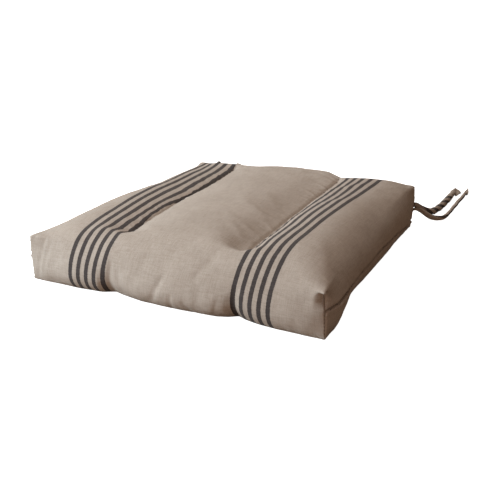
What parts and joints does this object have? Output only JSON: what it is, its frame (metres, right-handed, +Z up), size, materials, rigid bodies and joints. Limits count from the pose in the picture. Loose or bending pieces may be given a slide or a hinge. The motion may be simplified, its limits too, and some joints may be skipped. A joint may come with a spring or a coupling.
{
  "type": "chair seat pad",
  "caption": "Plump tapered chair seat pad with a striped woven cover, sewn channels, boxed corners and a pair of tie tapes at each back corner.",
  "frame": {"origin": "middle of the underside, on the surface the pad rests on", "axes": "+Z up, +Y from the front edge to the back edge, where the ties are, and +X to the right of someone who looks at the front edge"},
  "size_m": [0.4592, 0.6074, 0.0878],
  "materials": {
    "striped_cloth": "coarse woven cotton and linen, beige with dark brown stripes",
    "tie_cloth": "folded strips of the same cloth",
    "fibre_filling": "loose white polyester fibre",
    "divider_cloth": "plain undyed cotton",
    "sewing_thread": "twisted polyester sewing thread"
  },
  "bodies": {
    "pad": {"cover": "striped_cloth", "filling": "fibre_filling", "divider_left": "divider_cloth", "divider_right": "divider_cloth", "row_stitches_top_left": "sewing_thread", "row_stitches_top_right": "sewing_thread", "row_stitches_under_left": "sewing_thread", "row_stitches_under_right": "sewing_thread", "side_seam_left": "sewing_thread", "side_seam_right": "sewing_thread", "back_seam": "sewing_thread", "corner_seam_front_left": "sewing_thread", "corner_seam_front_right": "sewing_thread", "corner_seam_back_right": "sewing_thread", "corner_seam_back_left": "sewing_thread", "tie_tack_left": "sewing_thread", "tie_tack_right": "sewing_thread"},
    "right_inner_tie": {"tie_right_inner": "tie_cloth", "tie_hem_right_inner": "sewing_thread"},
    "right_outer_tie": {"tie_right_outer": "tie_cloth", "tie_hem_right_outer": "sewing_thread"},
    "left_inner_tie": {"tie_left_inner": "tie_cloth", "tie_hem_left_inner": "sewing_thread"},
    "left_outer_tie": {"tie_left_outer": "tie_cloth", "tie_hem_left_outer": "sewing_thread"}
  },
  "joints": [
    {"name": "right_inner_tie_swing", "type": "hinge", "parent": "pad", "child": "right_inner_tie", "pos_m": [0.1845, 0.2045, 0.037], "axis": [0, 0, 1], "range_deg": [0, 50]},
    {"name": "right_outer_tie_swing", "type": "hinge", "parent": "pad", "child": "right_outer_tie", "pos_m": [0.1845, 0.2045, 0.028], "axis": [0, 0, 1], "range_deg": [-90, 0]},
    {"name": "left_inner_tie_swing", "type": "hinge", "parent": "pad", "child": "left_inner_tie", "pos_m": [-0.1845, 0.2045, 0.037], "axis": [0, 0, 1], "range_deg": [-50, 0]},
    {"name": "left_outer_tie_swing", "type": "hinge", "parent": "pad", "child": "left_outer_tie", "pos_m": [-0.1845, 0.2045, 0.028], "axis": [0, 0, 1], "range_deg": [0, 90]}
  ]
}
